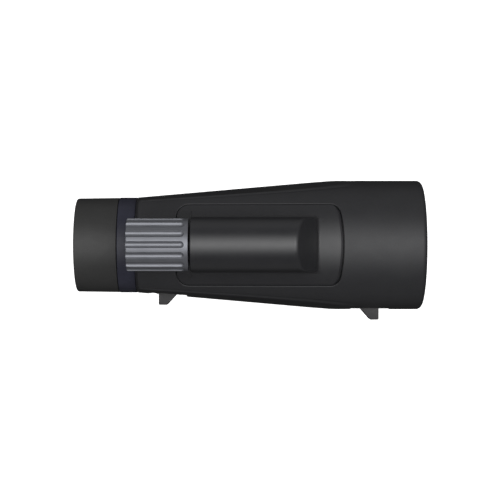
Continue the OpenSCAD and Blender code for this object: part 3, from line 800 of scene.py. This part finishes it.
def make_bridge():
    line = panel_line()
    # stations
    rows = []

    def add(xs, rear):
        for x in xs:
            rows.append((float(x), rear))

    add([-29.9, -29.88, -29.84, -29.78, -29.7, -29.55, -29.3, -29.0, -28.6, -28.2, -27.7, -27.2, -26.6, -26.0, -25.2, -24.5, -24.0, HX0], True)
    add([HX0, HX0 + 0.02, HX0 + 0.06, HX0 + 0.13, HX0 + 0.22, HX0 + 0.33, HX0 + 0.45, HX0 + 0.8, HX0 + 1.5], False)
    add(np.linspace(-21, 16.5, 30), False)
    add(np.linspace(17.0, 28.6, 78), False)
    add([29.0, 29.5, 30.2, 31, 31.8, 32.6, 33.4, 34.2, 34.9, 35.5, 36.0, 36.4, 36.66, 36.73, 36.76, 36.78, 36.80, 36.83, 36.9, 37.1, 37.35, 37.55, 37.62, 37.66, 37.70, 37.76, 37.82, 37.86, 37.885, 37.9], False)
    # lateral positions, 0 at the crown to 1 at the edge, dense round the wall and its fillets
    nv = 121
    nr = len(rows)
    PX = np.zeros((nr, 2 * nv - 1))
    PA = np.zeros_like(PX)
    edge_x = line[:, 0]

    def y_edge(fx):
        ys = np.linspace(2, 16.6, 1461)
        ok = inside(line, np.broadcast_to(fx(ys), ys.shape), ys)
        return float(ys[ok].max()) if ok.any() else 11.5

    R = np.zeros_like(PX)
    for i, (x, rear) in enumerate(rows):
        if x <= 30.2:
            fx = lambda y: np.full(np.shape(y), x)
        else:
            k = (x - 30.2) / (37.9 - 30.2)
            fx = lambda y, k=k: 30.2 + k * (front_edge(y) - 30.2)
        # the edge angle at this row
        ye = y_edge(fx if x < 37.89 else (lambda y: fx(y) - 0.004))
        if x < -29.89:
            ye = 11.6
        # angles that resolve the wall: solve the boundary angle, then spread in arc length
        rr = np.array([crown(float(fx(ye))) - 0.3])
        ae = float(np.arcsin(min(0.999, ye / rr[0])))
        al = np.linspace(0, ae, 600)
        xa = np.full(600, x)
        for _ in range(3):
            r = bridge_root(xa, al, np.full(600, rear))
            xa = fx(r * np.sin(al))
        q = np.stack([r * np.sin(al), r * np.cos(al)], -1)
        s = np.concatenate([[0], np.cumsum(np.hypot(*(q[1:] - q[:-1]).T))])
        # turning adds weight
        t = unit(q[1:] - q[:-1])
        turn = np.concatenate([[0], np.arccos(np.clip((t[1:] * t[:-1]).sum(1), -1, 1)), [0]])
        w = s / s[-1] + 0.9 * np.cumsum(turn) / max(turn.sum(), 1e-6)
        # rows at the border: keep close lines there
        w = w / w[-1]
        want = np.concatenate([np.linspace(0, 0.955, nv - 7), [0.968, 0.978, 0.986, 0.992, 0.996, 0.9985, 1.0]])
        av = np.interp(want, w, al)
        full = np.concatenate([-av[::-1][:-1], av])
        xf = np.full(full.shape, x)
        for _ in range(4):
            r = bridge_root(xf, full, np.full(full.shape, rear))
            xf = fx(r * np.sin(full))
        PX[i], PA[i], R[i] = xf, full, r
    Y, Z = R * np.sin(PA), R * np.cos(PA)
    rear = np.array([rr for _, rr in rows])[:, None] & np.ones_like(PX, bool)
    h = 0.01
    dfx = bridge_f(PX + h, Y, Z, rear) - bridge_f(PX - h, Y, Z, rear)
    dfy = bridge_f(PX, Y + h, Z, rear) - bridge_f(PX, Y - h, Z, rear)
    dfz = bridge_f(PX, Y, Z + h, rear) - bridge_f(PX, Y, Z - h, rear)
    N = unit(np.stack([dfx, dfy, dfz], -1))
    P = np.stack([PX, Y, Z], -1)
    # rounded border
    fil = 0.28
    cham = 1.12 * sstep(33.4, 35.6, PX)
    dist = edge_distance(line, PX, Y)
    inn = np.clip(dist, 0, fil)
    lean = 0.62 * sstep(0.03, -0.03, dist - cham) * (cham > 0.05)
    dropv = fil - np.sqrt(np.maximum(fil ** 2 - (fil - inn) ** 2, 0)) + 0.62 * np.maximum(0, cham - dist)
    # border vertices sit on the line
    o2 = outward(line)
    idx = np.argmin((line[None, None, :, 0] - PX[..., None]) ** 2 + (line[None, None, :, 1] - Y[..., None]) ** 2, axis=-1)
    od = np.concatenate([o2[idx], np.zeros(idx.shape + (1,))], -1)
    od = unit(od - (od * N).sum(-1, keepdims=True) * N)
    ct = (fil - inn) / fil
    st = np.sqrt(np.maximum(1 - ct ** 2, 0))
    ct = ct + lean * st
    NB = unit(N * st[..., None] + od * ct[..., None])
    low = (np.hypot(Y, Z) < crown(PX) + 0.4)
    P = P - N * (dropv * low)[..., None]
    N = np.where((low & (dist < np.maximum(fil, cham + 0.03)))[..., None], NB, N)
    ncol = 2 * nv - 1
    V = [P.reshape(-1, 3)]
    NL = [N.reshape(-1, 3)]
    F = []
    FM = []
    flat = np.hypot(Y, Z) < crown(PX) + 0.15
    split = [i for i in range(nr) if rows[i][0] == HX0]      # two rows at the rear face
    for i in range(nr - 1):
        if i == split[0]:
            continue
        for j in range(ncol - 1):
            a = i * ncol + j
            F.append([a, a + ncol, a + ncol + 1, a + 1])
            FM.append(1 if flat[i:i + 2, j:j + 2].all() else 0)
    total = nr * ncol
    # the flat rear face of the housing
    a_row, b_row = P[split[0]], P[split[1]]
    V.append(np.concatenate([a_row, b_row]))
    NL.append(np.tile([[-1.0, 0, 0]], (2 * ncol, 1)))
    for j in range(ncol - 1):
        F.append([total + j, total + ncol + j, total + ncol + j + 1, total + j + 1])
    total += 2 * ncol
    # underside, on the chassis
    under = np.minimum(crown(PX) - AT - 0.02, np.where(rear | (PX <= HX0 + 1e-6), np.hypot(Y, Z) - 1.1, 99))
    dirn = np.stack([np.zeros_like(PX), np.sin(PA), np.cos(PA)], -1)
    U = dirn * under[..., None]
    U[..., 0] = PX
    V.append(U.reshape(-1, 3))
    NL.append((-dirn).reshape(-1, 3))
    ub = total
    for i in range(nr - 1):
        for j in range(ncol - 1):
            a = ub + i * ncol + j
            F.append([a, a + 1, a + ncol + 1, a + ncol])
    total += nr * ncol
    # border wall
    ring = [(0, j) for j in range(ncol)] + [(i, ncol - 1) for i in range(1, nr)] + [(nr - 1, j) for j in range(ncol - 2, -1, -1)] + [(i, 0) for i in range(nr - 2, 0, -1)]
    wv, wn = [], []
    for (i, j) in ring:
        wv += [P[i, j], U[i, j]]
        wn += [NB[i, j], NB[i, j]]
    V.append(np.array(wv))
    NL.append(np.array(wn))
    n = len(ring)
    for k in range(n):
        a, b = total + 2 * k, total + 2 * ((k + 1) % n)
        F.append([a, b, b + 1, a + 1])
    total += 2 * n
    FM += [0] * (len(F) - len(FM))
    return build("bridge_cover", np.concatenate(V), F, "scope_body", M["bridge"], N=np.concatenate(NL), replaces=("focus_bridge",),
                 mats=[M["bridge"], M["panel"]], fmat=FM)


bridge = make_bridge()


# ------------------------------------------------------------------ knob
def make_knob():
    nfl, fr, fd = 15, 1.47, 0.98
    fw = math.sqrt(fr ** 2 - (fr - fd) ** 2)
    x0, x1 = -49.2, -24.5
    rc = KR - fd + fr
    pitch = 2 * math.pi / nfl
    # one pitch of angles, close together at the flute's edges
    half = pitch / 2
    edge = 0.107
    one = np.unique(np.round(np.concatenate([np.linspace(0, 0.10, 8), np.linspace(0.10, 0.155, 13), np.linspace(0.155, half, 4)]), 6))
    one = np.concatenate([-one[::-1][:-1], one[:-1]])
    ang = np.concatenate([one + k * pitch for k in range(nfl)])
    n = len(ang)
    beta = (ang + half) % pitch - half
    xe = x1 - 1.65 - fw
    er = 0.45
    ef = 0.3
    rows = []
    for t in np.linspace(0, 1, 9):
        rows.append(x0 + er * (1 - math.cos(t * math.pi / 2)))
    rows += [-48.2, -47.5, -44, -40, -36, -32, -29.5, -28.6]
    rows += list(np.linspace(xe - 0.3, xe + fw + 0.2, 16))
    rows += [x1 - 1.2, x1 - 0.8]
    for t in np.linspace(0, 1, 6):
        rows.append(x1 - ef * (1 - math.sin(t * math.pi / 2)))
    V, N = [], []

    def rad(x, b):
        x = np.asarray(x, float) + 0 * b
        f2 = fr ** 2 - np.maximum(0, x - xe) ** 2
        f = np.sqrt(np.maximum(f2, 1e-9))
        disc = f ** 2 - (rc * np.sin(b)) ** 2
        sc = np.where((disc > 0) & (f2 > 0), rc * np.cos(b) - np.sqrt(np.maximum(disc, 0)), 99)
        d0 = np.clip((x - x0) / er, 0, 1)
        d1 = np.clip((x1 - x) / ef, 0, 1)
        body = KR - er * (1 - np.sqrt(1 - (1 - d0) ** 2)) - ef * (1 - np.sqrt(1 - (1 - d1) ** 2))
        return smin(body, sc, 0.10)

    for x in rows:
        r = rad(x, beta)
        V.append(np.stack([np.full(n, x), -r * np.sin(ang), KZ + r * np.cos(ang)], -1))
        hh = 0.004
        xx = min(max(x, x0 + 0.012), x1 - 0.012)
        r = rad(xx, beta)
        rx = (rad(xx + hh, beta) - rad(xx - hh, beta)) / (2 * hh)
        ra = (rad(xx, beta + 0.002) - rad(xx, beta - 0.002)) / 0.004
        er_ = np.stack([np.zeros(n), -np.sin(ang), np.cos(ang)], -1)
        ea = np.stack([np.zeros(n), -np.cos(ang), -np.sin(ang)], -1)
        nn = er_ - ea * (ra / r)[:, None] - np.array([1.0, 0, 0]) * rx[:, None]
        N.append(unit(nn))
    m = len(rows)
    F = grid_faces(m, n, 0, True, False)
    V = np.concatenate(V)
    N = np.concatenate(N)
    tot = len(V)

    # end faces, and the inside that sits on the hub
    def ring(x, r, nx, nr):
        nonlocal V, N, tot
        rr = np.full(n, float(r))
        V = np.concatenate([V, np.stack([np.full(n, x), -rr * np.sin(ang), KZ + rr * np.cos(ang)], -1)])
        e = np.stack([np.full(n, nx), -nr * np.sin(ang), nr * np.cos(ang)], -1)
        N = np.concatenate([N, e])
        tot += n
        return tot - n

    def copy(row, nx):
        nonlocal V, N, tot
        V = np.concatenate([V, V[row * n:(row + 1) * n]])
        N = np.concatenate([N, np.tile([[nx, 0.0, 0.0]], (n, 1))])
        tot += n
        return tot - n

    def join(a, b):
        for j in range(n):
            k = (j + 1) % n
            F.append([a + j, b + j, b + k, a + k])

    a = copy(0, -1)
    b = ring(x0, 8.35, -1, 0)
    join(b, a)
    prev = b
    for t in np.linspace(0, math.pi / 2, 5):
        c = ring(x0 + 0.35 * (1 - math.cos(t)), 8.35 - 0.35 * math.sin(t), -math.cos(t), -math.sin(t))
        join(c, prev)
        prev = c
    c = ring(-48.3, 7.65, -0.2, -1)
    join(c, prev)
    prev = c
    c = ring(x1, 7.65, 0, -1)
    join(c, prev)
    d = ring(x1, 7.65, 1, 0)
    e = copy(m - 1, 1)
    join(e, d)
    return build("knob_fluted", V, F, "focus_knob", M["knob"], N=N, replaces=("knob_grip",))


knob = make_knob()

# ------------------------------------------------------------------ turned parts that show
turned("eyecup_cover", [(-54.72, 18.5, 0.05), (-54.72, 19.80, 0.25), (-70.9, 19.60, 0), (-72.35, 19.58, 1.75), (-72.35, 16.9, 0.5),
                        (-71.25, 13.75, 0.25), (-70.95, 13.75, 0), (-71.2, 18.5, 0)], "eyecup", M["cup"], n=160,
       replaces=("eyecup_rubber",), seg=8)
turned("collar_ring", [(-54.5, 17.05, 0), (-54.5, 19.93, 0.3), (-47.25, 19.93, 0.16), (-47.25, 19.0, 0), (-47.5, 19.0, 0), (-47.5, 17.05, 0)], "scope_body", M["collar"], n=160,
       replaces=("eyepiece_collar",), seg=6)
turned("knob_end_cap", [(-47.45, 0, 0), (-48.2, 0, 0), (-48.2, 2.85, 0.1), (-48.7, 3.0, 0.2), (-48.7, 5.2, 0), (-48.55, 5.35, 0.1), (-48.55, 5.75, 0.1),
                        (-48.7, 5.9, 0), (-48.7, 7.5, 0.3), (-47.45, 7.55, 0)], "focus_knob", M["knob_cap"], z=KZ, n=96,
       replaces=("knob_cap",), seg=4)

fins = []
for i in range(7):
    x = 64.35 + i * 0.8
    fins += [(x, 23.72, 0), (x + 0.32, 23.72, 0), (x + 0.40, 23.42, 0), (x + 0.72, 23.42, 0)]
turned("hood_tube", [(46, 22, 0), (46, 23.9, 0), (48, 23.9, 0), (48, 25.4, 0), (70.3, 25.4, 0), (70.3, 23.5, 0.15)] + fins[::-1] +
       [(64.2, 23.42, 0), (50, 23.42, 0), (50, 22, 0)], "scope_body", M["black"], n=144, replaces=("objective_tube",), seg=3)
turned("cell_ring", [(50, 20.6, 0), (50, 23.38, 0), (61.3, 23.38, 0), (61.3, 22.5, 0), (62.5, 22.5, 0), (62.5, 23.38, 0), (64, 23.38, 0.12),
                     (64, 22.95, 0.12), (63.55, 22.75, 0.06), (63.45, 22.45, 0.06), (62.95, 22.3, 0.06), (62.85, 22.0, 0.06), (62.35, 21.9, 0.06),
                     (62.2, 21.65, 0), (51.5, 21.62, 0), (51.5, 20.6, 0)], "scope_body", M["black"], n=144,
       replaces=("objective_cell",), seg=3)


def bevelled(name, node, body, material, width, pick, seg=3):
    """A softened copy of a machined piece: its picked hard edges rounded."""
    src = NODES[node]
    bm = bmesh.new()
    bm.from_mesh(src.data)
    bm.transform(src.matrix_world)
    bmesh.ops.remove_doubles(bm, verts=bm.verts, dist=2e-6)
    bmesh.ops.dissolve_limit(bm, angle_limit=math.radians(0.6), verts=bm.verts, edges=bm.edges, delimit={"NORMAL"})
    bm.normal_update()
    chosen = []
    for e in bm.edges:
        if len(e.link_faces) != 2 or e.calc_face_angle(0) < math.radians(28):
            continue
        a, b = (v.co * 1000 for v in e.verts)
        if pick(a, b, e):
            chosen.append(e)
    bmesh.ops.bevel(bm, geom=chosen, offset=width * 0.001, offset_type="OFFSET", segments=seg, profile=0.5, affect="EDGES", clamp_overlap=True)
    bmesh.ops.dissolve_degenerate(bm, dist=1e-7, edges=bm.edges)
    bmesh.ops.recalc_face_normals(bm, faces=bm.faces)
    me = bpy.data.meshes.new(name)
    for f in bm.faces:
        f.smooth = True
    for e in bm.edges:
        e.smooth = not (len(e.link_faces) == 2 and e.calc_face_angle(0) > math.radians(33))
    bm.to_mesh(me)
    bm.free()
    me.materials.append(material)
    ob = bpy.data.objects.new(name, me)
    bpy.context.scene.collection.objects.link(ob)
    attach(ob, body)
    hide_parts(node)
    return ob


def lug_edges(surface):
    def pick(a, b, e):
        m = (a + b) / 2
        near_slot = False
        return m.y < surface and e.calc_length() > 2e-4 and not near_slot
    return pick


bevelled("lug_rear", "rear_strap_lug", "scope_body", M["lug"], 0.32, lug_edges(-20.75))
bevelled("lug_front", "front_strap_lug", "scope_body", M["lug"], 0.32, lug_edges(-26.95))


def foot_pick(a, b, e):
    r = min(math.hypot((a.x + b.x) / 2 - x, (a.y + b.y) / 2 - y) for x in (-12, 18) for y in (-8, 8))
    return abs(a.z) < 0.02 and abs(b.z) < 0.02 and r > 2.5 and math.hypot((a.x + b.x) / 2, (a.y + b.y) / 2) > 5.5


bevelled("foot_cover", "tripod_foot", "scope_body", M["bridge"], 0.5, foot_pick)

# ------------------------------------------------------------------ stage, light, camera
def floor():
    me = bpy.data.meshes.new("floor")
    s = 3.0
    me.from_pydata([(-s, -s, -0.0003), (s, -s, -0.0003), (s, s, -0.0003), (-s, s, -0.0003)], [], [(0, 1, 2, 3)])
    ob = bpy.data.objects.new("floor", me)
    bpy.context.scene.collection.objects.link(ob)
    m = bpy.data.materials.new("floor_pale")
    m.use_nodes = True
    bs = m.node_tree.nodes["Principled BSDF"]
    bs.inputs["Base Color"].default_value = (0.80, 0.80, 0.80, 1)
    bs.inputs["Roughness"].default_value = 0.9
    bs.inputs["Specular IOR Level"].default_value = 0.1
    bs.inputs["Emission Color"].default_value = (1, 1, 1, 1)
    bs.inputs["Emission Strength"].default_value = 0.90
    me.materials.append(m)
    ob.visible_glossy = False
    ob.visible_diffuse = False


floor()


# The studio is a soft tent: brightness by angle round the body's axis, 0 overhead and positive to the left,
# for directions leaning to the eye end and to the objective end.
TENT = [(-180, 0.06, 0.06), (-135, 0.0, 0.0), (-105, 0.19, 0.19), (-80, 0.12, 0.12), (-60, 0.01, 0.01), (-42, 0.05, 0.05),
        (-26, 1.50, 0.10), (-12, 1.91, 2.71), (0, 2.58, 4.24), (12, 0.60, 4.20), (26, 2.0, 0.76), (42, 0.02, 0.02),
        (60, 0.01, 0.01), (80, 0.33, 0.33), (105, 0.22, 0.22), (135, 0.0, 0.0), (180, 0.06, 0.06)]


def studio():
    world = bpy.data.worlds.new("studio")
    bpy.context.scene.world = world
    world.use_nodes = True
    nt = world.node_tree
    nt.nodes.clear()
    new = nt.nodes.new
    out, bg, tc, sp = new("ShaderNodeOutputWorld"), new("ShaderNodeBackground"), new("ShaderNodeTexCoord"), new("ShaderNodeSeparateXYZ")
    nt.links.new(tc.outputs["Generated"], sp.inputs[0])
    at = new("ShaderNodeMath")
    at.operation = "ARCTAN2"
    nt.links.new(sp.outputs[1], at.inputs[0])
    nt.links.new(sp.outputs[2], at.inputs[1])
    an = new("ShaderNodeMapRange")
    nt.links.new(at.outputs[0], an.inputs["Value"])
    an.inputs["From Min"].default_value = -math.pi
    an.inputs["From Max"].default_value = math.pi
    ends = []
    for k in (1, 2):
        fc = new("ShaderNodeFloatCurve")
        cv = fc.mapping.curves[0]
        pts = [((t[0] + 180) / 360.0, t[k] / 5.0) for t in TENT]
        while len(cv.points) < len(pts):
            cv.points.new(0.5, 0.5)
        for q, (u, v) in zip(cv.points, pts):
            q.location = (u, v)
            q.handle_type = "VECTOR"
        fc.mapping.update()
        nt.links.new(an.outputs[0], fc.inputs["Value"])
        ends.append(fc)
    lean = new("ShaderNodeMapRange")
    nt.links.new(sp.outputs[0], lean.inputs["Value"])
    lean.inputs["From Min"].default_value = -0.45
    lean.inputs["From Max"].default_value = 0.45
    mx = new("ShaderNodeMix")
    nt.links.new(lean.outputs[0], mx.inputs["Factor"])
    nt.links.new(ends[0].outputs[0], mx.inputs["A"])
    nt.links.new(ends[1].outputs[0], mx.inputs["B"])
    ax = new("ShaderNodeMath")
    ax.operation = "ABSOLUTE"
    nt.links.new(sp.outputs[0], ax.inputs[0])
    dim = new("ShaderNodeMapRange")
    dim.interpolation_type = "SMOOTHSTEP"
    nt.links.new(ax.outputs[0], dim.inputs["Value"])
    dim.inputs["From Min"].default_value = 0.45
    dim.inputs["From Max"].default_value = 0.97
    dim.inputs["To Min"].default_value = 1.0
    dim.inputs["To Max"].default_value = 0.25
    mu = new("ShaderNodeMath")
    mu.operation = "MULTIPLY"
    nt.links.new(mx.outputs["Result"], mu.inputs[0])
    nt.links.new(dim.outputs[0], mu.inputs[1])
    nt.links.new(mu.outputs[0], bg.inputs["Color"])
    bg.inputs["Strength"].default_value = 5.45
    # seen directly it is the same pale white as the floor
    lp, pale, ms = new("ShaderNodeLightPath"), new("ShaderNodeBackground"), new("ShaderNodeMixShader")
    pale.inputs["Color"].default_value = (1.0, 1.0, 1.0, 1.0)
    pale.inputs["Strength"].default_value = 1.05
    nt.links.new(lp.outputs["Is Camera Ray"], ms.inputs[0])
    nt.links.new(bg.outputs[0], ms.inputs[1])
    nt.links.new(pale.outputs[0], ms.inputs[2])
    nt.links.new(ms.outputs[0], out.inputs[0])


studio()

cam = bpy.data.cameras.new("camera")
co = bpy.data.objects.new("camera", cam)
bpy.context.scene.collection.objects.link(co)
cam.sensor_width = 36.0
cam.lens = 111.95
cam.clip_start = 0.01
cam.clip_end = 20
co.location = (0.0, -0.0021, (AZ + 654.0) * 0.001)
co.rotation_euler = (0, 0, 0)
bpy.context.scene.camera = co
bpy.context.scene.view_settings.view_transform = "Standard"
